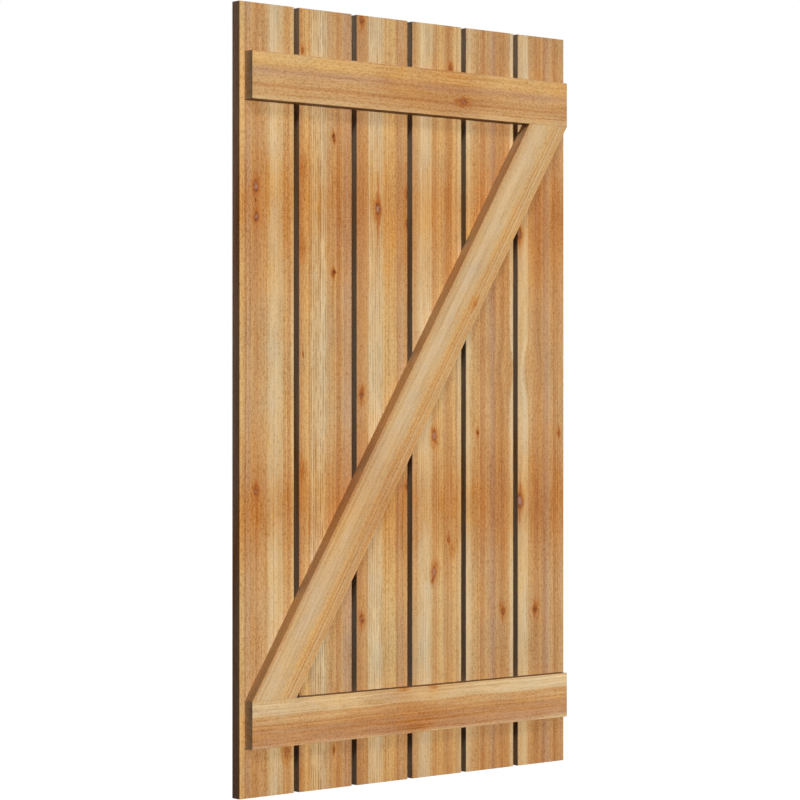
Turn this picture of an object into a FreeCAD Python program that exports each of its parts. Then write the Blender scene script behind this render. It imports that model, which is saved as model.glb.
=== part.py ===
# Board and batten shutter with a diagonal brace, in millimetres.
# Upright boards stand side by side with open gaps. Two battens cross their faces near the ends,
# and a brace rises from the foot of the hanging side to the head of the free side.
# The origin is the centre of the left board's back, on the wall: +X across the boards, +Y into the wall.
import FreeCAD, Part
import os
import Sketcher

# Driving dimensions: alias, value, meaning
DRIVING_SIZES = [
    ("board_count", 6, "upright boards"),
    ("board_width", 130.2, "face width of one board"),
    ("board_gap", 12.7, "open gap between two boards"),
    ("board_thickness", 22.2, "thickness of a board"),
    ("board_length", 1473.2, "height of the shutter"),
    ("batten_width", 88.9, "height of a batten across the boards"),
    ("batten_thickness", 22.2, "stock thickness of the battens and the brace"),
    ("batten_inset", 12.7, "from the shutter's side to a batten's end"),
    ("batten_offset", 92.1, "from a board's end to a batten's outer edge"),
    ("brace_width", 88.9, "width of the brace, square to its length"),
    ("edge_round", 1.0, "radius of the eased long edges"),
]
SHEET = "sizes"

# Expressions shared by the pieces
BOARD_PITCH = f"({SHEET}.board_width + {SHEET}.board_gap)"
SHUTTER_WIDTH = f"({SHEET}.board_count * {BOARD_PITCH} - {SHEET}.board_gap)"
LEFT_SIDE = f"(-{SHEET}.board_width / 2)"
BATTEN_LENGTH = f"({SHUTTER_WIDTH} - 2 * {SHEET}.batten_inset)"
BATTEN_LEFT_END = f"({LEFT_SIDE} + {SHEET}.batten_inset)"
BATTEN_HEIGHT = f"({SHEET}.board_length / 2 - {SHEET}.batten_offset)"
BRACE_RISE = f"(2 * {BATTEN_HEIGHT} - 2 * {SHEET}.batten_width)"


def make_sheet(doc):
    sheet = doc.addObject("Spreadsheet::Sheet", SHEET)
    for row, (alias, value, meaning) in enumerate(DRIVING_SIZES, start=1):
        sheet.set(f"A{row}", meaning)
        sheet.set(f"B{row}", str(value))
        sheet.setAlias(f"B{row}", alias)
    doc.recompute()
    return sheet


def start_body(doc, label, plane_role):
    """An empty body with a sketch on one of its own origin planes."""
    body = doc.addObject("PartDesign::Body", label)
    body.Label = label
    sketch = body.newObject("Sketcher::SketchObject", f"{label}_profile")
    plane = next(f for f in body.Origin.OriginFeatures if f.Role == plane_role)
    sketch.AttachmentSupport = [(plane, "")]
    sketch.MapMode = "FlatFace"
    return body, sketch


def draw_outline(sketch, corners):
    """Closed outline of straight lines through the corners. Line n runs from corner n to corner n + 1."""
    points = [FreeCAD.Vector(x, y, 0) for x, y in corners]
    count = len(points)
    for n in range(count):
        sketch.addGeometry(Part.LineSegment(points[n], points[(n + 1) % count]))
    for n in range(count):
        sketch.addConstraint(Sketcher.Constraint("Coincident", n, 2, (n + 1) % count, 1))


def bind(sketch, name, constraint, expression):
    """Adds a dimension to the sketch and ties it to the sheet."""
    index = sketch.addConstraint(constraint)
    sketch.renameConstraint(index, name)
    sketch.setExpression(f"Constraints.{name}", expression)


def draw_rectangle(sketch, width, depth, width_expression, depth_expression):
    """Rectangle from the sketch's origin, width along its x and depth along its y."""
    draw_outline(sketch, [(0, 0), (width, 0), (width, depth), (0, depth)])
    for line, kind in enumerate(("Horizontal", "Vertical", "Horizontal", "Vertical")):
        sketch.addConstraint(Sketcher.Constraint(kind, line))
    sketch.addConstraint(Sketcher.Constraint("Coincident", 0, 1, -1, 1))
    bind(sketch, "width", Sketcher.Constraint("DistanceX", 0, 1, 0, 2, width), width_expression)
    bind(sketch, "depth", Sketcher.Constraint("DistanceY", 1, 1, 1, 2, depth), depth_expression)


def extrude(body, sketch, expression):
    pad = body.newObject("PartDesign::Pad", f"{body.Name}_pad")
    pad.Profile = sketch
    pad.setExpression("Length", expression)
    sketch.Visibility = False
    body.Document.recompute()
    return pad


def ease_long_edges(body, pad):
    """Rounds the four edges that run along the piece, as planed stock has them."""
    edges = pad.Shape.Edges
    by_length = sorted(range(len(edges)), key=lambda n: edges[n].Length)
    ease = body.newObject("PartDesign::Fillet", f"{body.Name}_eased_edges")
    ease.Base = (pad, [f"Edge{n + 1}" for n in by_length[-4:]])
    ease.setExpression("Radius", f"{SHEET}.edge_round")
    body.Tip = ease


def place(body, x, y, z):
    for axis, expression in zip("xyz", (x, y, z)):
        body.setExpression(f"Placement.Base.{axis}", expression)


def make_board(doc, sheet, index):
    """One upright board: its cross-section drawn flat and extruded to the shutter's height."""
    body, sketch = start_body(doc, f"board_{index + 1}", "XY_Plane")
    draw_rectangle(
        sketch, sheet.board_width, sheet.board_thickness,
        f"{SHEET}.board_width", f"{SHEET}.board_thickness",
    )
    pad = extrude(body, sketch, f"{SHEET}.board_length")
    ease_long_edges(body, pad)
    place(
        body,
        f"{LEFT_SIDE} + {index} * {BOARD_PITCH}",
        f"-{SHEET}.board_thickness",
        f"-{SHEET}.board_length / 2",
    )
    return body


def make_batten(doc, sheet, label, lower_edge):
    """A batten across the boards' faces, with its ends held in from the shutter's sides."""
    body, sketch = start_body(doc, label, "YZ_Plane")
    draw_rectangle(
        sketch, sheet.batten_thickness, sheet.batten_width,
        f"{SHEET}.batten_thickness", f"{SHEET}.batten_width",
    )
    pad = extrude(body, sketch, BATTEN_LENGTH)
    ease_long_edges(body, pad)
    place(body, BATTEN_LEFT_END, f"-{SHEET}.board_thickness - {SHEET}.batten_thickness", lower_edge)
    return body


def make_brace(doc, sheet):
    """The diagonal brace: its ends are cut level to seat on the battens' edges.

    Its outer edges run into the battens' corners, so the slope follows from its width.
    """
    body, sketch = start_body(doc, "diagonal_brace", "XZ_Plane")
    pitch = sheet.board_width + sheet.board_gap
    span = sheet.board_count * pitch - sheet.board_gap - 2 * sheet.batten_inset
    rise = sheet.board_length - 2 * (sheet.batten_offset + sheet.batten_width)
    foot = sheet.brace_width
    draw_outline(sketch, [(0, 0), (foot, 0), (span, rise), (span - foot, rise)])
    sketch.addConstraint(Sketcher.Constraint("Coincident", 0, 1, -1, 1))
    sketch.addConstraint(Sketcher.Constraint("Horizontal", 0))
    sketch.addConstraint(Sketcher.Constraint("Horizontal", 2))
    sketch.addConstraint(Sketcher.Constraint("Parallel", 1, 3))
    bind(sketch, "span", Sketcher.Constraint("DistanceX", 0, 1, 1, 2, span), BATTEN_LENGTH)
    bind(sketch, "rise", Sketcher.Constraint("DistanceY", 0, 1, 1, 2, rise), BRACE_RISE)
    square_width = Sketcher.Constraint("Distance", 0, 1, 1, sheet.brace_width)
    bind(sketch, "square_width", square_width, f"{SHEET}.brace_width")
    pad = extrude(body, sketch, f"{SHEET}.batten_thickness")
    ease_long_edges(body, pad)
    place(body, BATTEN_LEFT_END, f"-{SHEET}.board_thickness", f"-{BRACE_RISE} / 2")
    return body


def check_document(doc, pieces):
    doc.recompute()
    for item in doc.Objects:
        if "Invalid" in item.State or "Error" in item.State:
            raise RuntimeError(f"{item.Label} failed: {item.State}")
    for piece in pieces:
        if piece.Shape.isNull() or not piece.Shape.isValid() or len(piece.Shape.Solids) != 1:
            raise RuntimeError(f"{piece.Label} is not one valid solid")


def main():
    doc = FreeCAD.newDocument("board_and_batten_shutter")
    sheet = make_sheet(doc)
    pieces = [make_board(doc, sheet, index) for index in range(int(sheet.board_count))]
    pieces.append(make_batten(doc, sheet, "top_batten", f"{BATTEN_HEIGHT} - {SHEET}.batten_width"))
    pieces.append(make_batten(doc, sheet, "bottom_batten", f"-{BATTEN_HEIGHT}"))
    pieces.append(make_brace(doc, sheet))
    check_document(doc, pieces)
    os.makedirs("parts", exist_ok=True)
    for piece in pieces:
        piece.Shape.exportStep(f"parts/{piece.Label}.step")
        box = piece.Shape.optimalBoundingBox(True, False)
        print(
            f"{piece.Label}: x {box.XMin:.1f} to {box.XMax:.1f}, y {box.YMin:.1f} to {box.YMax:.1f},"
            f" z {box.ZMin:.1f} to {box.ZMax:.1f}, volume {piece.Shape.Volume:.0f}"
        )


main()
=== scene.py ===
import math
import bpy
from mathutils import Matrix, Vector


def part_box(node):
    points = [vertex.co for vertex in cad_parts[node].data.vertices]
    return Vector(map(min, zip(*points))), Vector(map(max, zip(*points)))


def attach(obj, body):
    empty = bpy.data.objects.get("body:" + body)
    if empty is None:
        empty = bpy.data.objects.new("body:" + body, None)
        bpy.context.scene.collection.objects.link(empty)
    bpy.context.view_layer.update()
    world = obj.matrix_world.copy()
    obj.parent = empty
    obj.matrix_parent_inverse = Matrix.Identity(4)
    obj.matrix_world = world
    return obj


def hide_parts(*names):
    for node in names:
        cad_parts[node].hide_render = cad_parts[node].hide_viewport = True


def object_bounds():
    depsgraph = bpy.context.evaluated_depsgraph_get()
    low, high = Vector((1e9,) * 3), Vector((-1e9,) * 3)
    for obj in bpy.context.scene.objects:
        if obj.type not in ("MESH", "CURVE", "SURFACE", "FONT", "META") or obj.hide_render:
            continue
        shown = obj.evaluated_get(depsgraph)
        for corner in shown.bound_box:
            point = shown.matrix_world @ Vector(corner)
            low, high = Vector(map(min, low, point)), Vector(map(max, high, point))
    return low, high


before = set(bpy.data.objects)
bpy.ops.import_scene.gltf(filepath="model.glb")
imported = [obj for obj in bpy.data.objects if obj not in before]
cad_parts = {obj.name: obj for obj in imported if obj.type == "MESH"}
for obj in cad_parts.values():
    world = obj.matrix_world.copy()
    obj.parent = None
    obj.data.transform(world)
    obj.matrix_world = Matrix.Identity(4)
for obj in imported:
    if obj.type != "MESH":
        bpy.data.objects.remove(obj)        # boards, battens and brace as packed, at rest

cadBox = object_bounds()
mm = 0.001
boardNames = sorted(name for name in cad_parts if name.startswith("board_"))
print("frame loaded,", len(boardNames), "boards")

# Cedar tones as seen in daylight, sRGB 0 to 255
woodTones = {
    "cream": (216, 181, 133),
    "straw": (210, 171, 119),
    "honey": (213, 166, 105),
    "tan": (200, 152, 99),
    "amber": (199, 146, 90),
    "rose": (193, 146, 103),
    "rust": (189, 134, 82),
    "umber": (184, 133, 90),
}


def linear(red, green, blue):  # sRGB to the values a colour socket takes
    parts = [channel / 255 for channel in (red, green, blue)]
    parts = [p / 12.92 if p <= 0.04045 else ((p + 0.055) / 1.055) ** 2.4 for p in parts]
    return (*parts, 1.0)


# Node helpers: each adds to a tree, and most hand back the socket that carries on
def blankMaterial(name):
    material = bpy.data.materials.new(name)
    material.use_nodes = True
    material.node_tree.nodes.clear()
    return material, material.node_tree


def addNode(tree, kind, inputs=None, **settings):
    node = tree.nodes.new("ShaderNode" + kind)
    for name, value in settings.items():
        setattr(node, name, value)
    for key, value in (inputs or {}).items():
        if isinstance(value, bpy.types.NodeSocket):
            tree.links.new(value, node.inputs[key])
        else:
            node.inputs[key].default_value = value
    return node


def calc(tree, operation, first, second=0.0, third=0.0):
    return addNode(tree, "Math", {0: first, 1: second, 2: third}, operation=operation).outputs[0]


def calcVector(tree, operation, first, second, third=None):
    inputs = {0: first, 1: second}
    if third is not None:
        inputs[2] = third
    return addNode(tree, "VectorMath", inputs, operation=operation).outputs[0]


def fade(tree, value, start, end):  # 0 at start, 1 at end, eased between
    spread = {"Value": value, "From Min": start, "From Max": end}
    return addNode(tree, "MapRange", spread, interpolation_type="SMOOTHSTEP").outputs[0]


def noise(tree, place, stretch, detail, roughness, output=0):  # output 1 differs in each direction
    spot = calcVector(tree, "MULTIPLY", place, stretch)
    grain = {"Vector": spot, "Scale": 1.0, "Detail": detail, "Roughness": roughness}
    return addNode(tree, "TexNoise", grain).outputs[output]


def swing(tree, value, amount):  # noise about its middle, as plus or minus half the amount
    return calc(tree, "MULTIPLY", calc(tree, "SUBTRACT", value, 0.5), amount)


def blend(tree, factor, first, second):  # first where factor is 0, second where it is 1
    return calc(tree, "MULTIPLY_ADD", factor, second - first, first)


def ramp(tree, factor, stops, interpolation="LINEAR"):
    node = addNode(tree, "ValToRGB", {0: factor})
    node.color_ramp.interpolation = interpolation
    elements = node.color_ramp.elements
    elements.remove(elements[1])
    elements[0].position, elements[0].color = stops[0]
    for position, colour in stops[1:]:
        elements.new(position).color = colour
    return node.outputs[0]


def mixTone(tree, factor, first, second):
    return addNode(tree, "Mix", {0: factor, 6: first, 7: second}, data_type="RGBA").outputs[2]


def tint(tree, factor, colour, multiplier):  # colour times the multiplier, where factor is 1
    return mixTone(tree, factor, colour, calcVector(tree, "MULTIPLY", colour, multiplier))


# A knot, in knot sizes: a pale heart, a dark rim, a spindle of colour along the grain and a stain round it.
# Each part has its half width and half length, and an edge where it starts to fade and is gone.
knotShape = {
    "heart": (0.60, 0.80),
    "heartEdge": (0.4, 1.3),
    "rim": (0.95, 1.60),
    "rimEdge": (0.6, 1.2),
    "spindleWidth": 1.7,             # its length is the knot's tail
    "spindleCurve": 0.7,             # 1 is a diamond, less is drawn out to thin points
    "spindleEdge": (0.5, 1.1),
    "spindleDark": (-0.5, 0.5),      # rim darkness at which it starts and is full
    "stain": (2.6, 4.5),
    "stainEdge": (0.1, 1.1),
    "stainDark": (-1.0, 0.0),
    "push": -0.7,                    # how far the grain goes round it
}


def makeKnotGroup(shape):
    tree = bpy.data.node_groups.new("cedar_knot", "ShaderNodeTree")
    for name in ("Place", "Centre"):
        tree.interface.new_socket(name, in_out="INPUT", socket_type="NodeSocketVector")
    for name in ("Size", "Tail", "Pale", "Dark"):
        tree.interface.new_socket(name, in_out="INPUT", socket_type="NodeSocketFloat")
    for name in ("Push", "Stain", "Spindle", "Rim", "Heart"):
        tree.interface.new_socket(name, in_out="OUTPUT", socket_type="NodeSocketFloat")
    given = tree.nodes.new("NodeGroupInput").outputs
    made = tree.nodes.new("NodeGroupOutput").inputs
    offset = calcVector(tree, "SUBTRACT", given["Place"], given["Centre"])
    parts = addNode(tree, "SeparateXYZ", {0: offset}).outputs
    across = calc(tree, "DIVIDE", parts[0], given["Size"])
    along = calc(tree, "DIVIDE", parts[2], given["Size"])

    def reach(width, length):  # 1 on an oval of that half width and half length
        wide = calc(tree, "DIVIDE", across, width)
        high = calc(tree, "DIVIDE", along, length)
        square = calc(tree, "MULTIPLY_ADD", wide, wide, calc(tree, "MULTIPLY", high, high))
        return calc(tree, "SQRT", square)

    def within(value, edge):
        return calc(tree, "SUBTRACT", 1.0, fade(tree, value, *edge))

    def hand(value, share, name):
        tree.links.new(calc(tree, "MULTIPLY", value, share), made[name])

    ovals = ("heart", "rim", "stain")
    heart, rim, stain = (within(reach(*shape[part]), shape[part + "Edge"]) for part in ovals)
    wide = calc(tree, "ABSOLUTE", calc(tree, "DIVIDE", across, shape["spindleWidth"]))
    high = calc(tree, "ABSOLUTE", calc(tree, "DIVIDE", along, given["Tail"]))
    wide, high = (calc(tree, "POWER", part, shape["spindleCurve"]) for part in (wide, high))
    spindle = within(calc(tree, "ADD", wide, high), shape["spindleEdge"])
    hand(calc(tree, "MULTIPLY", parts[0], stain), shape["push"], "Push")
    hand(stain, fade(tree, given["Dark"], *shape["stainDark"]), "Stain")
    hand(spindle, fade(tree, given["Dark"], *shape["spindleDark"]), "Spindle")
    hand(rim, given["Dark"], "Rim")
    hand(heart, given["Pale"], "Heart")
    return tree


knotGroup = makeKnotGroup(knotShape)

# Patterns in the wood: how many to the metre across, in depth and along, then detail and roughness
cedarGrain = {
    "slowBend": ((3.0, 3.0, 1.4), 1.0, 0.5),
    "quickBend": ((24.0, 24.0, 7.0), 2.0, 0.5),
    "figure": ((45.0, 45.0, 9.0), 3.0, 0.8),
    "lines": ((190.0, 60.0, 1.0), 4.0, 0.8),
    "fibres": ((900.0, 900.0, 16.0), 2.0, 0.6),
    "ripple": ((260.0, 260.0, 320.0), 2.0, 0.7),
    "blush": ((20.0, 20.0, 8.0), 4.0, 0.65),
    "dashSway": ((50.0, 50.0, 1.5), 1.0, 0.5),
    "dashBreaks": ((90.0, 90.0, 22.0), 3.0, 0.7),
    "pores": ((280.0, 280.0, 110.0), 1.0, 0.5),
    "poreDrifts": ((34.0, 34.0, 5.0), 2.0, 0.5),
    "knotFray": ((95.0, 95.0, 60.0), 2.0, 0.5),
    "rimBreaks": ((150.0, 150.0, 150.0), 2.0, 0.5),
}

# What all the cedar shares
cedarLook = {
    "seedStep": (3.1, 1.7, 5.3),      # each piece of wood is cut from another place
    "ringSeedStep": (2.3, 0.0, 4.7),
    "pith": (100 * mm, 55 * mm),      # beside the edge and behind the face
    "quickBend": 0.6,                 # of the stock's wander
    "paleBlue": (0.13, 0.21),         # how much blue tells the pale wood from the rest
    "figureDepth": 0.9,               # mottling
    "lineDepth": 1.40,                # growth lines
    "fibreDepth": 0.25,               # finest streaks
    "rippleDepth": (1.40, 0.75),      # raised grain, in dark and in pale wood
    "lightest": 0.6,                  # how far the shading lightens, for how far it darkens
    "shadeTint": (0.60, 1.00, 1.50),  # what is darker is also redder
    "flushDepth": 0.46,               # how much deeper the flushed lengths are than the pale ones
    "flushTint": (0.40, 1.00, 1.70),
    "flushShare": (1.0, 0.75),        # how much of their lightening dark and pale wood take
    "greyTint": (-0.11, -0.07, 0.0),  # greyer lengths
    "blushDepth": 0.72,               # warmer and cooler places
    "blushTint": (0.40, 0.00, -1.00),
    "dashTint": (0.64, 0.52, 0.40),
    "dashSpacing": 5.8 * mm,
    "dashSway": 1.2,                  # of the spacing
    "dashWidth": (0.30, 0.08),        # of the spacing, from where a dash starts to where it is full
    "dashBreaks": (0.38, 0.58),
    "dashShare": (0.25, 1.0),         # in dark and in pale wood
    "poreTint": (0.82, 0.73, 0.62),
    "poreLevel": (0.50, 0.64),
    "poreDrift": 0.2,
    "poreInPale": -0.08,              # fewer pores there
    "knotFray": (11 * mm, 0.0, 20 * mm),
    "knotCover": 0.85,                # how much of the wood a stain or a spindle covers
    "rimBreaks": (0.40, 0.56),
    "rimShare": (0.25, 1.0),          # where the rim breaks and where it is whole
    "heart": (178, 138, 116),
    "rim": (112, 54, 26),
    "spindle": (170, 92, 38),
    "stain": (0.93, 0.74, 0.48),
    "cutFace": (0.6, 0.9),            # how square a face looks to the side or the end
    "endTone": (197, 160, 120),       # end grain
    "ringSpacing": 2.6 * mm,
    "ringTone": (0.12, 0.94),         # how far the rings swing, about which level
    "roughness": (0.80, 0.55),
    "shine": 0.10,
    "relief": 0.35 * mm,
    "reliefStrength": 0.5,
    "reliefShares": {"lines": 0.6, "fibres": 0.35, "ripple": 0.5, "pores": -0.5},
}


def findPlace(tree, stock, look):  # place and facing, in the stock's own directions
    coords = addNode(tree, "TexCoord").outputs
    turn = (0.0, stock["turn"], 0.0)
    laid = {"Vector": coords["Object"], "Location": stock["shift"], "Rotation": turn}
    faced = {"Vector": coords["Normal"], "Rotation": turn}
    place = addNode(tree, "Mapping", laid).outputs[0]
    across, depth, along = addNode(tree, "SeparateXYZ", {0: place}).outputs
    return {
        "place": place, "across": across, "depth": depth, "along": along,
        "facing": addNode(tree, "Mapping", faced, vector_type="NORMAL").outputs[0],
        "seeded": calcVector(tree, "ADD", place, [stock["seed"] * step for step in look["seedStep"]]),
    }


def ringAtFace(tree, wood, stock, look):  # where this ring meets the face, so that bands run right through
    pithSide, pithDepth = look["pith"]
    pithAcross = -pithSide if stock["pithLeft"] else stock["width"] + pithSide
    outwards = 1.0 if stock["pithLeft"] else -1.0
    fromPith = calc(tree, "SUBTRACT", wood["across"], pithAcross)
    behind = calc(tree, "SUBTRACT", wood["depth"], pithDepth)
    square = calc(tree, "MULTIPLY_ADD", fromPith, fromPith, calc(tree, "MULTIPLY", behind, behind))
    square = calc(tree, "MAXIMUM", calc(tree, "SUBTRACT", square, pithDepth ** 2), 0.0)
    return calc(tree, "MULTIPLY_ADD", calc(tree, "SQRT", square), outwards, pithAcross)


def growRings(tree, wood, stock, look):  # the grain wanders and goes round the knots
    slow = noise(tree, wood["seeded"], *cedarGrain["slowBend"])
    quick = noise(tree, wood["seeded"], *cedarGrain["quickBend"])
    slow = swing(tree, slow, stock["wander"])
    quick = swing(tree, quick, stock["wander"] * look["quickBend"])
    ring = calc(tree, "ADD", ringAtFace(tree, wood, stock, look), calc(tree, "ADD", slow, quick))
    fray = noise(tree, wood["place"], *cedarGrain["knotFray"], output=1)
    fray = calcVector(tree, "SUBTRACT", fray, (0.5, 0.5, 0.5))
    frayed = calcVector(tree, "ADD", wood["place"], calcVector(tree, "MULTIPLY", fray, look["knotFray"]))
    knots = {}
    for across, along, size, tail, pale, dark in stock["knots"]:
        given = {"Place": frayed, "Centre": (across * mm, 0.0, along * mm), "Size": size * mm}
        given.update({"Tail": tail, "Pale": pale, "Dark": dark})
        made = addNode(tree, "Group", given, node_tree=knotGroup).outputs
        ring = calc(tree, "ADD", ring, made["Push"])
        for part in ("Stain", "Spindle", "Rim", "Heart"):
            knots[part] = calc(tree, "MAXIMUM", made[part], knots[part]) if part in knots else made[part]
    wood["knots"] = knots
    wood["ring"] = ring
    ringPlace = addNode(tree, "CombineXYZ", {0: ring, 1: wood["depth"], 2: wood["along"]}).outputs[0]
    steps = [stock["seed"] * step for step in look["ringSeedStep"]]
    wood["ringSeeded"] = calcVector(tree, "ADD", ringPlace, steps)


def bandColour(tree, wood, stock, look):
    stops = [(at * mm / stock["width"], linear(*woodTones[tone])) for at, tone in stock["bands"]]
    colour = ramp(tree, calc(tree, "DIVIDE", wood["ring"], stock["width"]), stops)
    blue = addNode(tree, "SeparateColor", {0: colour}).outputs[2]
    wood["pale"] = fade(tree, blue, *look["paleBlue"])
    return colour


def lengthTones(tree, wood, stock):  # flushed and greyer lengths, which lie elsewhere at the back
    low, high = stock["length"]
    reached = calc(tree, "MULTIPLY_ADD", wood["depth"], stock["drift"], wood["along"])
    reached = calc(tree, "DIVIDE", calc(tree, "SUBTRACT", reached, low), high - low)
    tones = []
    for lengths in (stock["flush"], stock["grey"]):
        stops = [((at * mm - low) / (high - low), (deep, deep, deep, 1.0)) for at, deep in lengths]
        tones.append(ramp(tree, reached, stops, "B_SPLINE"))
    return tones


def shadeWood(tree, wood, stock, look):  # growth lines, fibres, raised grain, mottling and lengths
    for pattern in ("figure", "lines", "fibres"):
        wood[pattern] = noise(tree, wood["ringSeeded"], *cedarGrain[pattern])
    for pattern in ("ripple", "blush"):
        wood[pattern] = noise(tree, wood["seeded"], *cedarGrain[pattern])
    lined = swing(tree, wood["lines"], look["lineDepth"] * stock["lines"])
    shade = calc(tree, "ADD", lined, swing(tree, wood["fibres"], look["fibreDepth"]))
    rippled = swing(tree, wood["ripple"], blend(tree, wood["pale"], *look["rippleDepth"]))
    shade = calc(tree, "ADD", shade, rippled)
    shade = calc(tree, "ADD", shade, swing(tree, wood["figure"], look["figureDepth"] * stock["figure"]))
    shade = calc(tree, "MINIMUM", shade, calc(tree, "MULTIPLY", shade, look["lightest"]))
    flush, grey = lengthTones(tree, wood, stock)
    flush = swing(tree, flush, -look["flushDepth"])
    lightened = calc(tree, "MULTIPLY", flush, blend(tree, wood["pale"], *look["flushShare"]))
    flush = calc(tree, "MINIMUM", flush, lightened)
    blush = swing(tree, wood["blush"], look["blushDepth"])
    shades = calcVector(tree, "MULTIPLY_ADD", shade, look["shadeTint"], stock["tone"])
    shades = calcVector(tree, "MULTIPLY_ADD", flush, look["flushTint"], shades)
    shades = calcVector(tree, "MULTIPLY_ADD", grey, look["greyTint"], shades)
    wood["shades"] = calcVector(tree, "MULTIPLY_ADD", blush, look["blushTint"], shades)


def drawDashes(tree, wood, stock, look, colour):  # thin broken lines, a ring apart, mostly in pale wood
    sway = swing(tree, noise(tree, wood["ringSeeded"], *cedarGrain["dashSway"]), look["dashSway"])
    turns = calc(tree, "ADD", calc(tree, "DIVIDE", wood["ring"], look["dashSpacing"]), sway)
    dashes = fade(tree, calc(tree, "PINGPONG", turns, 0.5), *look["dashWidth"])
    breaks = fade(tree, noise(tree, wood["seeded"], *cedarGrain["dashBreaks"]), *look["dashBreaks"])
    dashes = calc(tree, "MULTIPLY", calc(tree, "MULTIPLY", dashes, breaks), stock["dashes"])
    dashes = calc(tree, "MULTIPLY", dashes, blend(tree, wood["pale"], *look["dashShare"]))
    return tint(tree, dashes, colour, look["dashTint"])


def drawPores(tree, wood, stock, look, colour):
    drift = swing(tree, noise(tree, wood["ringSeeded"], *cedarGrain["poreDrifts"]), look["poreDrift"])
    drift = calc(tree, "ADD", drift, calc(tree, "MULTIPLY", wood["pale"], look["poreInPale"]))
    level = calc(tree, "ADD", noise(tree, wood["seeded"], *cedarGrain["pores"]), drift)
    wood["pores"] = calc(tree, "MULTIPLY", fade(tree, level, *look["poreLevel"]), stock["pores"])
    return tint(tree, wood["pores"], colour, look["poreTint"])


def drawKnots(tree, wood, look, colour):
    knots = wood["knots"]
    stain = calc(tree, "MULTIPLY", knots["Stain"], look["knotCover"])
    spindle = calc(tree, "MULTIPLY", knots["Spindle"], look["knotCover"])
    whole = fade(tree, noise(tree, wood["seeded"], *cedarGrain["rimBreaks"]), *look["rimBreaks"])
    rim = calc(tree, "MULTIPLY", knots["Rim"], blend(tree, whole, *look["rimShare"]))
    colour = tint(tree, stain, colour, look["stain"])
    colour = mixTone(tree, spindle, colour, linear(*look["spindle"]))
    colour = mixTone(tree, rim, colour, linear(*look["rim"]))
    return mixTone(tree, knots["Heart"], colour, linear(*look["heart"]))


def drawCutFaces(tree, wood, stock, look, colour):  # sides in a tone of their own, which on boards and battens is darker than the face as painted shade, and end grain with its rings as arcs
    sideways, _, endways = addNode(tree, "SeparateXYZ", {0: wood["facing"]}).outputs
    sideOn = fade(tree, calc(tree, "ABSOLUTE", sideways), *look["cutFace"])
    endOn = fade(tree, calc(tree, "ABSOLUTE", endways), *look["cutFace"])
    # painted shade: on boards and battens the side tone is darker than the face, standing in for the light
    # the sides miss
    sideColourAndShade = calcVector(tree, "MULTIPLY", wood["shades"], linear(*stock["sideToneAndShade"])[:3])
    endColour = calcVector(tree, "MULTIPLY", wood["shades"], linear(*look["endTone"])[:3])
    turns = calc(tree, "MULTIPLY", wood["ring"], 2 * math.pi / look["ringSpacing"])
    rings = calc(tree, "MULTIPLY_ADD", calc(tree, "SINE", turns), *look["ringTone"])
    colour = mixTone(tree, sideOn, colour, sideColourAndShade)
    return mixTone(tree, endOn, colour, calcVector(tree, "MULTIPLY", endColour, rings))


def raiseGrain(tree, wood, look):
    height = 0.0
    for part, share in look["reliefShares"].items():
        height = calc(tree, "MULTIPLY_ADD", wood[part], share, height)
    bump = {"Strength": look["reliefStrength"], "Distance": look["relief"], "Height": height}
    return addNode(tree, "Bump", bump).outputs[0]


def cedar(name, stock, look=cedarLook):
    material, tree = blankMaterial(name)
    wood = findPlace(tree, stock, look)
    growRings(tree, wood, stock, look)
    colour = bandColour(tree, wood, stock, look)
    shadeWood(tree, wood, stock, look)
    colour = calcVector(tree, "MULTIPLY", colour, wood["shades"])
    colour = drawDashes(tree, wood, stock, look, colour)
    colour = drawPores(tree, wood, stock, look, colour)
    colour = drawKnots(tree, wood, look, colour)
    colour = drawCutFaces(tree, wood, stock, look, colour)
    rough = blend(tree, wood["lines"], *look["roughness"])
    surface = {"Base Color": colour, "Roughness": rough, "Specular IOR Level": look["shine"]}
    surface["Normal"] = raiseGrain(tree, wood, look)
    shader = addNode(tree, "BsdfPrincipled", surface)
    addNode(tree, "OutputMaterial", {"Surface": shader.outputs[0]})
    return material


# What differs from one kind of stock to the next. Flushed and greyer lengths are in mm along it,
# the boards' from their middle, and drift moves them along at the back.
stockKinds = {
    "boards": {
        "wander": 5 * mm, "figure": 1.0, "lines": 1.0,
        # the boards' sides are painted darker than their faces, as painted shade
        "tone": (1.00, 0.965, 0.925), "sideToneAndShade": (170, 139, 108),
        "flush": [(-737, 0.5), (-650, 0.35), (-560, 0.1), (-440, 0.0), (-350, 0.0), (-280, 0.45),
                  (-205, 1.0), (-140, 0.55), (-80, 0.2), (-20, 0.0), (170, 0.1), (280, 0.5),
                  (376, 1.0), (450, 0.5), (520, 0.15), (640, 0.2), (737, 0.18)],
        "grey": [(-737, 0.0), (-640, 0.2), (-510, 1.0), (-440, 0.5), (-370, 0.0), (-30, 0.0),
                 (90, 1.0), (200, 0.0), (560, 0.0), (690, 1.0), (737, 1.0)],
    },
    "battens": {
        "tone": (1.02, 1.02, 1.02), "grey": [(0, 0.0)], "drift": 0.0,
    },
    "brace": {
        "wander": 4 * mm, "figure": 0.65, "lines": 0.8,
        "tone": (0.93, 0.89, 0.89), "sideToneAndShade": (200, 152, 99), "grey": [(0, 0.0)], "drift": 0.0,
    },
}

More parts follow.
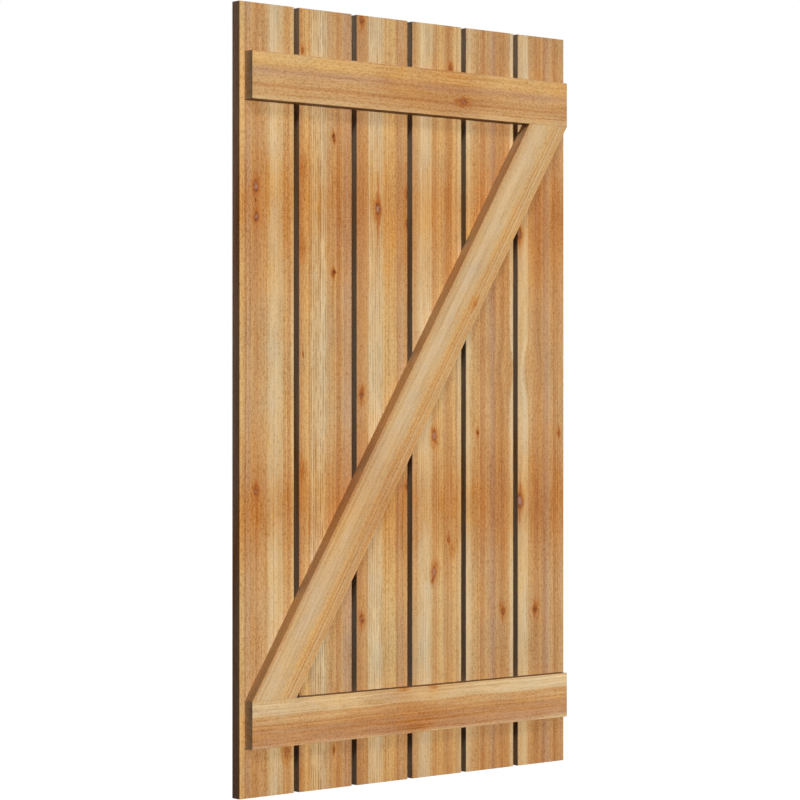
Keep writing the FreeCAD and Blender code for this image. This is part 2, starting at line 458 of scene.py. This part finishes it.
# Boards: bands in mm from the left edge. Knots: across, height from the middle, size, tail,
# how pale the heart and how dark the rim is. One with a rim below 0 does little but bend the grain.
boardFigures = {
    "board_1": {
        "bands": [(0, "honey"), (8, "honey"), (14, "umber"), (17, "tan"), (21, "rose"), (25, "tan"),
                  (29, "amber"), (33, "amber"), (40, "rust"), (45, "amber"), (51, "tan"), (64, "tan"),
                  (68, "straw"), (73, "cream"), (86, "cream"), (92, "straw"), (102, "straw"), (105, "tan"),
                  (108, "amber"), (111, "honey"), (114, "amber"), (120, "amber"), (123, "honey"),
                  (127, "straw"), (130, "straw")],
        "knots": [(39, 397, 6.5, 5.0, 0.6, 0.9), (39, 340, 6.5, 5.0, 0.6, 0.9),
                  (39, 368, 2.0, 9.0, 0.0, 1.0), (39, -169, 5.5, 6.0, 0.45, 0.6),
                  (112, -658, 7.0, 3.0, 0.2, 0.3)],
        # board_1's outer left side is painted darker still, as painted shade
        "dashes": 0.2, "pores": 0.9, "pithLeft": True, "sideToneAndShade": (165, 120, 89), "drift": 7.0,
    },
    "board_2": {
        "bands": [(0, "rust"), (8, "amber"), (15, "honey"), (21, "honey"), (25, "amber"), (28, "straw"),
                  (33, "cream"), (37, "straw"), (42, "cream"), (45, "straw"), (48, "cream"), (60, "cream"),
                  (66, "straw"), (73, "tan"), (83, "tan"), (86, "amber"), (88, "honey"), (90, "amber"),
                  (93, "rust"), (98, "rust"), (102, "amber"), (106, "tan"), (112, "rose"), (130, "rose")],
        "knots": [(85, 498, 4.5, 6.0, 0.0, 1.0), (85, 240, 4.5, 6.0, 0.0, 1.0),
                  (9, 86, 2.5, 12.0, 0.0, 0.5), (9, 656, 3.5, 6.0, 0.0, 0.7),
                  (85, -663, 4.0, 6.0, 0.0, 0.8), (3, 436, 9.0, 1.0, 0.0, 0.0),
                  (3, 284, 9.0, 1.0, 0.0, 0.0), (3, -133, 9.0, 1.0, 0.0, 0.0)],
        "dashes": 1.0, "pores": 0.7, "pithLeft": False, "drift": -9.0,
    },
    "board_3": {
        "bands": [(0, "rust"), (12, "rust"), (19, "amber"), (28, "amber"), (32, "cream"), (60, "cream"),
                  (66, "straw"), (71, "honey"), (74, "amber"), (76, "honey"), (80, "honey"), (82, "amber"),
                  (84, "honey"), (98, "honey"), (102, "amber"), (105, "umber"), (110, "tan"),
                  (115, "rose"), (119, "tan"), (124, "amber"), (130, "amber")],
        "knots": [(54, 367, 8.5, 11.0, 0.7, 0.9), (12, 726, 6.5, 5.0, 0.2, 0.7),
                  (12, 10, 6.5, 5.0, 0.2, 0.7), (12, -421, 6.5, 5.0, 0.2, 0.7),
                  (129, 397, 4.5, 5.0, 0.2, 0.9), (129, 343, 4.5, 5.0, 0.2, 0.9),
                  (129, -169, 4.5, 5.0, 0.2, 0.9)],
        "dashes": 0.6, "pores": 0.7, "pithLeft": True, "drift": 3.0,
    },
    "board_4": {
        "bands": [(0, "tan"), (12, "tan"), (17, "straw"), (24, "cream"), (40, "cream"), (51, "straw"),
                  (54, "tan"), (56, "amber"), (61, "amber"), (63, "rust"), (66, "honey"), (69, "amber"),
                  (72, "honey"), (76, "honey"), (82, "tan"), (88, "amber"), (93, "rust"), (98, "amber"),
                  (105, "amber"), (110, "honey"), (114, "honey"), (117, "amber"), (122, "straw"),
                  (130, "straw")],
        "knots": [(58, -71, 7.5, 4.0, 0.6, 0.45), (62, -82, 4.5, 4.0, 0.0, 0.3),
                  (53, -60, 3.0, 4.0, 0.0, 0.2), (57, -338, 7.5, 4.0, 0.5, 0.35),
                  (54, -353, 4.0, 5.0, 0.0, 0.5), (63, -325, 5.0, 3.0, 0.0, 0.0),
                  (96, -274, 3.0, 9.0, 0.0, 0.4), (106, -292, 7.0, 1.0, 0.0, 0.0),
                  (101, 656, 5.0, 4.0, 0.1, 0.6)],
        "dashes": 0.25, "pores": 0.6, "pithLeft": False, "drift": 11.0,
    },
    "board_5": {
        "bands": [(0, "straw"), (6, "cream"), (12, "straw"), (22, "tan"), (30, "tan"), (33, "rust"),
                  (36, "honey"), (39, "rust"), (49, "rust"), (52, "amber"), (56, "tan"), (63, "tan"),
                  (67, "rose"), (71, "rose"), (74, "umber"), (80, "umber"), (86, "amber"), (97, "rust"),
                  (104, "rust"), (111, "amber"), (119, "tan"), (122, "cream"), (130, "cream")],
        "knots": [(32, -66, 4.0, 6.0, 0.0, 0.8), (101, -423, 6.0, 6.0, 0.1, 0.8),
                  (95, -414, 4.0, 2.0, 0.0, 0.0), (110, 60, 15.0, 1.0, 0.0, -0.7)],
        "dashes": 0.2, "pores": 0.8, "pithLeft": False, "drift": -4.0,
    },
    "board_6": {
        "bands": [(0, "straw"), (8, "straw"), (14, "cream"), (26, "cream"), (30, "tan"), (36, "tan"),
                  (41, "amber"), (46, "rust"), (57, "rust"), (66, "amber"), (72, "umber"), (77, "umber"),
                  (80, "rose"), (86, "rose"), (90, "tan"), (95, "tan"), (98, "amber"), (101, "rust"),
                  (107, "rust"), (110, "amber"), (112, "rust"), (115, "tan"), (117, "amber"),
                  (121, "amber"), (125, "tan"), (130, "tan")],
        "knots": [(5, -202, 10.0, 7.5, 0.7, 0.8), (4, 334, 8.0, 6.0, 0.3, 0.6),
                  (48, -423, 6.0, 6.0, 0.1, 0.8), (54, -414, 4.0, 2.0, 0.0, 0.0),
                  (116, -66, 4.0, 6.0, 0.0, 0.8), (38, 60, 16.0, 1.0, 0.0, -0.7)],
        "dashes": 0.15, "pores": 0.8, "pithLeft": True, "drift": -12.0,
    },
}

# Battens: bands in mm down from the top edge, knots and flushed lengths along from the left end
battenFigures = {
    "top_batten": {
        "bands": [(0, "tan"), (4, "honey"), (20, "honey"), (26, "tan"), (31, "rose"), (36, "rose"),
                  (44, "tan"), (54, "tan"), (60, "rust"), (66, "tan"), (76, "tan"), (89, "straw")],
        "knots": [(58, 531, 7.0, 5.0, 0.3, 0.6)],
        "flush": [(0, 0.2), (170, 0.2), (300, 0.45), (430, 0.7), (520, 1.0), (590, 0.4), (660, 0.2),
                  (819, 0.45)],
        # its sides are painted darker than its face, as painted shade on its underside
        "dashes": 0.2, "pores": 0.8, "pithLeft": True, "sideToneAndShade": (165, 131, 99),
        "wander": 9 * mm, "figure": 0.9, "lines": 1.0,
    },
    "bottom_batten": {
        "bands": [(0, "straw"), (5, "straw"), (9, "cream"), (25, "cream"), (29, "straw"), (31, "tan"),
                  (35, "amber"), (38, "tan"), (43, "tan"), (47, "rust"), (50, "amber"), (54, "rust"),
                  (60, "umber"), (65, "rust"), (72, "umber"), (79, "umber"), (83, "rose"), (87, "rose"),
                  (89, "straw")],
        "knots": [(2, 375, 5.0, 3.0, 0.0, 0.0), (3, 452, 5.5, 3.0, 0.0, 0.0)],
        "flush": [(0, 0.25), (200, 0.25), (330, 0.7), (400, 1.0), (470, 0.6), (600, 0.25), (819, 0.2)],
        # its top and bottom faces are painted much darker, as painted shade for the dark line along its top
        "dashes": 0.2, "pores": 0.6, "pithLeft": False, "sideToneAndShade": (128, 96, 68),
        "wander": 14 * mm, "figure": 1.1, "lines": 1.3,
    },
}

# Brace: bands in mm from its upper edge, knots and flushed lengths along from its foot
braceFigure = {
    "bands": [(0, "amber"), (3, "tan"), (8, "straw"), (17, "straw"), (21, "cream"), (34, "cream"),
              (44, "straw"), (52, "straw"), (55, "honey"), (60, "honey"), (63, "amber"), (65, "honey"),
              (68, "honey"), (70, "rust"), (72, "honey"), (76, "straw"), (78, "amber"), (80, "honey"),
              (83, "amber"), (86, "honey"), (89, "tan")],
    "knots": [(69, 931, 6.0, 2.5, 0.0, 0.0)],
    "flush": [(0, 0.1), (300, 0.25), (480, 0.7), (560, 0.5), (650, 0.1), (900, 0.25), (1050, 0.1),
              (1321, 0.1)],
    "dashes": 0.2, "pores": 0.5, "pithLeft": False,
}


def endSpan(name, top):  # left and right of a piece's lowest or highest end, and its level
    corners = [v.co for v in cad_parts[name].data.vertices]
    level = (max if top else min)(co.z for co in corners)
    sides = [co.x for co in corners if abs(co.z - level) < 0.1 * mm]
    return min(sides), max(sides), level


footLeft, footRight, footLevel = endSpan("diagonal_brace", False)
headLeft, headRight, headLevel = endSpan("diagonal_brace", True)
braceSlope = math.atan2(headLevel - footLevel, headLeft - footLeft)
braceLength = math.hypot(headLevel - footLevel, headLeft - footLeft)
braceWidth = (footRight - footLeft) * math.sin(braceSlope)


def cutStock(kind, figure, seed, turn, corner):  # across, depth and along start from that corner
    x, y, z = corner
    sine, cosine = math.sin(turn), math.cos(turn)
    shift = (-(x * cosine + z * sine), -y, x * sine - z * cosine)
    return {**stockKinds[kind], **figure, "seed": seed, "turn": turn, "shift": shift}


def boardCedar(name, seed):
    low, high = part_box(name)
    stock = cutStock("boards", boardFigures[name], seed, 0.0, (low[0], low[1], 0.0))
    stock.update(width=high[0] - low[0], length=(low[2], high[2]))
    return cedar(name + "_cedar", stock)


def battenCedar(name, seed):
    low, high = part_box(name)
    stock = cutStock("battens", battenFigures[name], seed, -math.pi / 2, (low[0], low[1], high[2]))
    stock.update(width=high[2] - low[2], length=(0.0, high[0] - low[0]))
    return cedar(name + "_cedar", stock)


def braceCedar(seed):
    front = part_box("diagonal_brace")[0][1]
    turn = braceSlope - math.pi / 2
    stock = cutStock("brace", braceFigure, seed, turn, (footLeft, front, footLevel))
    stock.update(width=braceWidth, length=(0.0, braceLength))
    return cedar("diagonal_brace_cedar", stock)


def finishNode(name, material):
    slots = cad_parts[name].data.materials
    slots.clear()
    slots.append(material)


firstSeeds = {"boards": 1, "battens": 21, "brace": 31}
for seed, name in enumerate(battenFigures, start=firstSeeds["battens"]):
    finishNode(name, battenCedar(name, seed))
finishNode("diagonal_brace", braceCedar(firstSeeds["brace"]))
print("battens and brace finished")


# Modelling helpers
def deselectAll():
    bpy.ops.object.select_all(action="DESELECT")


def selectOnly(piece):
    deselectAll()
    piece.select_set(True)
    bpy.context.view_layer.objects.active = piece


def pick(kind, test):  # goes into edit mode with the active piece's edges or faces that pass the test
    mesh = bpy.context.object.data
    bpy.ops.object.mode_set(mode="EDIT")
    bpy.ops.mesh.select_mode(type=kind)
    bpy.ops.mesh.select_all(action="DESELECT")
    leaveEdit()
    for part in (mesh.edges if kind == "EDGE" else mesh.polygons):
        part.select = test(mesh, part)
    bpy.ops.object.mode_set(mode="EDIT")


def leaveEdit():
    bpy.ops.object.mode_set(mode="OBJECT")


def applyPlace():
    bpy.ops.object.transform_apply(location=True, rotation=True, scale=True)


def runsUpright(mesh, edge):
    first, second = (mesh.vertices[n].co for n in edge.vertices)
    return abs(first.z - second.z) > 500 * mm


def isAtEnd(mesh, edge):
    ends = [abs(mesh.vertices[n].co.z) for n in edge.vertices]
    tallest = max(abs(v.co.z) for v in mesh.vertices)
    return min(ends) > tallest - 0.01 * mm


def facesFront(mesh, face):
    return face.normal.y < -0.99


def cutOut(piece, cutter):
    hole = piece.modifiers.new("cut", "BOOLEAN")
    hole.operation = "DIFFERENCE"
    hole.solver = "EXACT"
    hole.object = cutter
    selectOnly(piece)
    bpy.ops.object.modifier_apply(modifier="cut")
    selectOnly(cutter)
    bpy.ops.object.delete()


def joinAll(pieces, name):
    selectOnly(pieces[0])
    for piece in pieces:
        piece.select_set(True)
    bpy.ops.object.join()
    joined = bpy.context.object
    joined.name = joined.data.name = name
    return joined


def smoothFaces(piece, angle):  # leaves edges sharper than the angle as they are
    selectOnly(piece)
    bpy.ops.object.shade_smooth_by_angle(angle=math.radians(angle))


axisToBack = (-math.pi / 2, 0.0, 0.0)      # turns a cone's or a cylinder's axis to the back

# Screws: driven from the back, two in each board at a batten, and along the brace's middle
screwPlan = {"boardSpread": 34 * mm, "battenSpread": 22 * mm, "braceSpread": 30 * mm}


def screwSpots(name):
    low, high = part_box(name)
    middle = (low[0] + high[0]) / 2
    braceMiddle = (footLeft + headRight) / 2
    spots = {held: [] for held in (*battenFigures, "diagonal_brace")}
    for side in (-1, 1):
        for batten in battenFigures:
            battenLow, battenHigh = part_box(batten)
            height = (battenLow[2] + battenHigh[2]) / 2
            x = middle + side * screwPlan["boardSpread"]
            spots[batten].append((x, height - side * screwPlan["battenSpread"]))
        x = middle + side * screwPlan["braceSpread"]
        z = (x - braceMiddle) * math.tan(braceSlope)
        if abs(z) < headLevel - screwPlan["braceSpread"]:
            spots["diagonal_brace"].append((x, z))
    return spots


boardSpots = {name: screwSpots(name) for name in boardNames}

# Boards: planed, long edges eased, a countersink at the back for each screw
boardTrim = {
    "easing": 1.0 * mm,
    "easingSteps": 3,
    "endEasing": 0.4 * mm,
    "endEasingSteps": 2,
    "sinkRadius": 4.7 * mm,
    "sinkDepth": 3.2 * mm,
    "sinkFoot": 2.0 * mm,
    "sinkSides": 32,
    "sinkOver": 0.25,                # of its depth, how far the cutter stands out of the back
    "smoothAngle": 35,
}


def makeSinks(name, back):
    over = boardTrim["sinkDepth"] * boardTrim["sinkOver"]
    slope = (boardTrim["sinkRadius"] - boardTrim["sinkFoot"]) / boardTrim["sinkDepth"]
    sinks = []
    for spots in boardSpots[name].values():
        for x, z in spots:
            deselectAll()
            bpy.ops.mesh.primitive_cone_add(
                vertices=boardTrim["sinkSides"], depth=boardTrim["sinkDepth"] + over,
                radius1=boardTrim["sinkFoot"], radius2=boardTrim["sinkRadius"] + slope * over,
                location=(x, back + (over - boardTrim["sinkDepth"]) / 2, z), rotation=axisToBack,
            )
            applyPlace()
            sinks.append(bpy.context.object)
    return joinAll(sinks, "countersinks")


def makeBoard(name, seed):
    low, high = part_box(name)
    deselectAll()
    bpy.ops.mesh.primitive_cube_add(size=1.0, location=[(a + b) / 2 for a, b in zip(low, high)])
    bpy.ops.transform.resize(value=[b - a for a, b in zip(low, high)])
    applyPlace()
    board = bpy.context.object
    pick("EDGE", runsUpright)
    bpy.ops.mesh.bevel(offset=boardTrim["easing"], segments=boardTrim["easingSteps"], affect="EDGES")
    leaveEdit()
    pick("EDGE", isAtEnd)
    bpy.ops.mesh.bevel(offset=boardTrim["endEasing"], segments=boardTrim["endEasingSteps"], affect="EDGES")
    leaveEdit()
    cutOut(board, makeSinks(name, high[1]))
    board.name = board.data.name = "planed_" + name
    smoothFaces(board, boardTrim["smoothAngle"])
    board.data.materials.append(boardCedar(name, seed))
    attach(board, "root")
    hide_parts(name)


for seed, name in enumerate(boardNames, start=firstSeeds["boards"]):
    makeBoard(name, seed)
print("boards planed and countersunk")

screwShape = {
    "headRadius": 4.3 * mm,
    "shankRadius": 2.0 * mm,
    "headDepth": 2.6 * mm,
    "rimHeight": 0.3 * mm,
    "sunk": 0.35 * mm,
    "length": 36 * mm,
    "tip": 5 * mm,
    "tipScale": 0.1,
    "sides": 32,
    "recessWidth": 3.6 * mm,
    "recessDepth": 1.7 * mm,
    "recessTaper": 0.8,
    "smoothAngle": 30,
    "turnEach": 37.0,                # degrees from one screw to the next, as each stops at its own turn
}


def makeScrew():
    shape = screwShape
    deselectAll()
    bpy.ops.mesh.primitive_cylinder_add(
        vertices=shape["sides"], radius=shape["headRadius"], depth=shape["rimHeight"],
        location=(0.0, -shape["sunk"] - shape["rimHeight"] / 2, 0.0), rotation=axisToBack,
    )
    applyPlace()
    screw = bpy.context.object
    pick("FACE", facesFront)
    head = (shape["headDepth"], shape["shankRadius"] / shape["headRadius"])
    shank = (shape["length"] - shape["headDepth"] - shape["tip"], 1.0)
    tip = (shape["tip"], shape["tipScale"])
    for run, scale in (head, shank, tip):
        bpy.ops.mesh.extrude_region_move(TRANSFORM_OT_translate={"value": (0.0, -run, 0.0)})
        bpy.ops.transform.resize(value=(scale, 1.0, scale))
    leaveEdit()
    deselectAll()
    bpy.ops.mesh.primitive_cube_add(size=1.0, location=(0.0, -shape["sunk"], 0.0))
    bpy.ops.transform.resize(value=(shape["recessWidth"], 2 * shape["recessDepth"], shape["recessWidth"]))
    applyPlace()
    bit = bpy.context.object
    pick("FACE", facesFront)
    bpy.ops.transform.resize(value=(shape["recessTaper"], 1.0, shape["recessTaper"]))
    leaveEdit()
    cutOut(screw, bit)
    smoothFaces(screw, shape["smoothAngle"])
    return screw


# Coated steel of the screws
screwLook = {
    "tone": (112, 100, 84),
    "dull": (78, 68, 56),
    "cloud": ((900.0, 900.0, 900.0), 3.0, 0.5),
    "cloudLevel": (0.35, 0.75),
    "roughness": (0.55, 0.75),
}


def screwSteel():
    material, tree = blankMaterial("screw_steel")
    cloud = noise(tree, addNode(tree, "TexCoord").outputs["Object"], *screwLook["cloud"])
    dulled = fade(tree, cloud, *screwLook["cloudLevel"])
    colour = mixTone(tree, dulled, linear(*screwLook["tone"]), linear(*screwLook["dull"]))
    rough = blend(tree, cloud, *screwLook["roughness"])
    shader = addNode(tree, "BsdfPrincipled", {"Base Color": colour, "Metallic": 1.0, "Roughness": rough})
    addNode(tree, "OutputMaterial", {"Surface": shader.outputs[0]})
    return material


def driveScrews():
    pattern = makeScrew()
    pattern.data.materials.append(screwSteel())
    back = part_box(boardNames[0])[1][1]
    for held in (*battenFigures, "diagonal_brace"):
        spots = [spot for name in boardNames for spot in boardSpots[name][held]]
        copies = []
        for count, (x, z) in enumerate(spots):
            selectOnly(pattern)
            bpy.ops.object.duplicate()
            copy = bpy.context.object
            copy.rotation_euler = (0.0, math.radians(screwShape["turnEach"] * count), 0.0)
            copy.location = (x, back, z)
            applyPlace()
            copies.append(copy)
        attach(joinAll(copies, held + "_screws"), "root")
    selectOnly(pattern)
    bpy.ops.object.delete()


driveScrews()
print("screws driven")

# Studio: floor below, a broad light square on to each face, a smaller one above it, white all round
studio = {
    "floorDrop": 0.5,
    "floorSize": 60.0,
    "floorTone": (0.80, 0.80, 0.80, 1.0),
    "floorGlow": 0.62,               # only where it is seen directly, so that the floor reads white
    "ambient": 0.015,
    "panelStrength": 2.55,
    "panelSoftness": 6.0,
    "panelRise": 0.075,
    "keyStrength": 0.90,
    "keySoftness": 14.0,
    "keyFrom": (-0.80, -1.00, 1.22),
}


def sunLight(name, strength, softness, source):  # source points from the shutter to the light
    lamp = bpy.data.lights.new(name, "SUN")
    lamp.energy = strength
    lamp.angle = math.radians(softness)
    holder = bpy.data.objects.new(name, lamp)
    holder.rotation_euler = Vector(source).to_track_quat("Z", "Y").to_euler()
    bpy.context.scene.collection.objects.link(holder)


def seenDirectly(tree, strength):  # that strength for what the camera sees, straight or in a reflection
    path = addNode(tree, "LightPath").outputs
    seen = calc(tree, "MAXIMUM", path["Is Camera Ray"], path["Is Glossy Ray"])
    seen = calc(tree, "MAXIMUM", seen, path["Is Transmission Ray"])
    return calc(tree, "MULTIPLY", seen, strength)


def layFloor():
    low, high = cadBox
    deselectAll()
    middle = [(a + b) / 2 for a, b in zip(low, high)]
    level = low[2] - studio["floorDrop"]
    bpy.ops.mesh.primitive_plane_add(size=studio["floorSize"], location=(middle[0], middle[1], level))
    floor = bpy.context.object
    floor.name = "studio_floor"
    paper, tree = blankMaterial("floor_paper")
    matt = addNode(tree, "BsdfDiffuse", {"Color": studio["floorTone"]}).outputs[0]
    white = addNode(tree, "Emission", {"Strength": seenDirectly(tree, studio["floorGlow"])}).outputs[0]
    both = addNode(tree, "AddShader", {0: matt, 1: white}).outputs[0]
    addNode(tree, "OutputMaterial", {"Surface": both})
    floor.data.materials.append(paper)
    floor.visible_diffuse = False    # no light bounced up at the shutter


def whitenWorld():
    world = bpy.data.worlds.new("studio_world")
    bpy.context.scene.world = world
    world.use_nodes = True
    tree = world.node_tree
    tree.nodes.clear()
    white = calc(tree, "ADD", seenDirectly(tree, 1.0 - studio["ambient"]), studio["ambient"])
    sky = addNode(tree, "Background", {"Color": (1.0, 1.0, 1.0, 1.0), "Strength": white})
    addNode(tree, "OutputWorld", {"Surface": sky.outputs[0]})


def hangLights():
    left, out, up = studio["keyFrom"]
    for face, side in (("front", 1.0), ("back", -1.0)):
        panelFrom = (0.0, -side, studio["panelRise"])
        keyFrom = (side * left, side * out, up)
        sunLight(face + "_panel", studio["panelStrength"], studio["panelSoftness"], panelFrom)
        sunLight(face + "_key", studio["keyStrength"], studio["keySoftness"], keyFrom)


layFloor()
whitenWorld()
hangLights()

# Camera: level, at half height, to the left of square-on
cameraSetup = {
    "lens": 125.32,
    "sensor": 36.0,
    "turn": 41.732,                  # degrees to the left of square-on
    "place": (-3.2614, -4.0500, 0.0),
}


def placeCamera():
    lens = bpy.data.cameras.new("main_camera")
    lens.lens = cameraSetup["lens"]
    lens.sensor_width = cameraSetup["sensor"]
    camera = bpy.data.objects.new("main_camera", lens)
    camera.location = cameraSetup["place"]
    camera.rotation_euler = (math.pi / 2, 0.0, -math.radians(cameraSetup["turn"]))
    bpy.context.scene.collection.objects.link(camera)
    bpy.context.scene.camera = camera
    bpy.context.scene.view_settings.view_transform = "Standard"


placeCamera()
print("studio and camera done")
